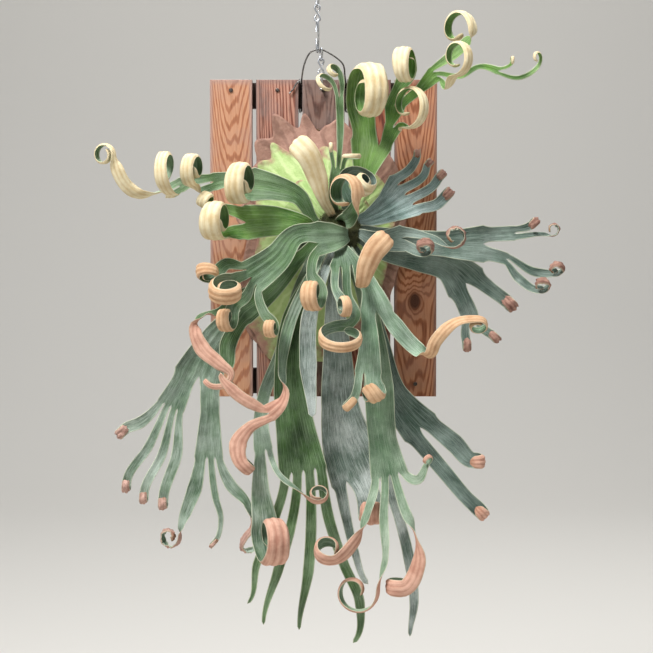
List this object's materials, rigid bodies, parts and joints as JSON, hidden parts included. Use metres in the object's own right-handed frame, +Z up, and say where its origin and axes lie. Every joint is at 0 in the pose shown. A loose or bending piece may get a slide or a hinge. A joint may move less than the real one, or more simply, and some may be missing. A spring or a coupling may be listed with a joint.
{
  "type": "mounted staghorn fern",
  "caption": "Staghorn fern grown on a slatted softwood board with battens behind, hung by a wire bail and chain from a hook.",
  "frame": {"origin": "top of the opening of the hook's upper bow, where the hook bears on what holds it", "axes": "+Z up, -Y toward the front of the fern, +X to the viewer's right"},
  "size_m": [0.6791, 0.2627, 0.9787],
  "materials": {
    "orange_wood": "weathered oiled softwood",
    "pink_wood": "weathered softwood with dark grain",
    "grey_wood": "weathered grey-brown softwood",
    "red_wood": "weathered red-brown softwood",
    "batten_wood": "dark damp softwood",
    "nail_steel": "dull, lightly rusted",
    "bail_steel": "dull galvanized wire",
    "chain_steel": "bright galvanized wire",
    "moss": "damp fibrous moss and peat",
    "dried_shield": "dry papery brown frond",
    "green_shield": "pale green ribbed living frond",
    "young_leaf": "bright green fleshy leaf with satin sheen",
    "pale_leaf": "blue-green fleshy leaf with white bloom",
    "dark_leaf": "dark blue-green fleshy leaf",
    "felt_leaf": "felted cream to salmon underside"
  },
  "bodies": {
    "root": {"plank_1": "orange_wood", "plank_2": "pink_wood", "plank_3": "grey_wood", "plank_4": "red_wood", "plank_5": "orange_wood", "batten_upper": "batten_wood", "batten_lower": "batten_wood", "nail_1_upper": "nail_steel", "nail_2_upper": "nail_steel", "nail_3_upper": "nail_steel", "nail_4_upper": "nail_steel", "nail_5_upper": "nail_steel", "nail_1_lower": "nail_steel", "nail_2_lower": "nail_steel", "nail_3_lower": "nail_steel", "nail_4_lower": "nail_steel", "nail_5_lower": "nail_steel", "wire_bail": "bail_steel", "chain_link_1": "chain_steel", "chain_link_2": "chain_steel", "chain_link_3": "chain_steel", "chain_link_4": "chain_steel", "chain_link_5": "chain_steel", "chain_link_6": "chain_steel", "hang_hook": "chain_steel", "moss_root_ball": "moss", "shield_frond_dried": "dried_shield", "shield_frond_green": "green_shield", "shield_frond_inner": "green_shield", "crown": "moss", "frond_top_right": "young_leaf", "frond_top_strap": "pale_leaf", "frond_far_left": "pale_leaf", "frond_left_broad": "young_leaf", "frond_cream_band": "pale_leaf", "frond_peach_ring": "pale_leaf", "frond_crown_fold": "dark_leaf", "frond_centre_left": "pale_leaf", "frond_centre_curls": "felt_leaf", "frond_mint_fork": "pale_leaf", "frond_lower_right": "pale_leaf", "frond_lower_broad": "pale_leaf", "frond_centre_long": "dark_leaf", "frond_silver_ribbon": "pale_leaf", "frond_salmon_lobe": "felt_leaf", "frond_left_twist": "dark_leaf", "frond_pink_ribbon": "felt_leaf", "frond_lower_left": "pale_leaf", "frond_right_up": "dark_leaf", "frond_right_long": "dark_leaf", "frond_right_low": "dark_leaf", "frond_right_bud": "dark_leaf", "frond_right_drop": "dark_leaf"}
  },
  "joints": []
}
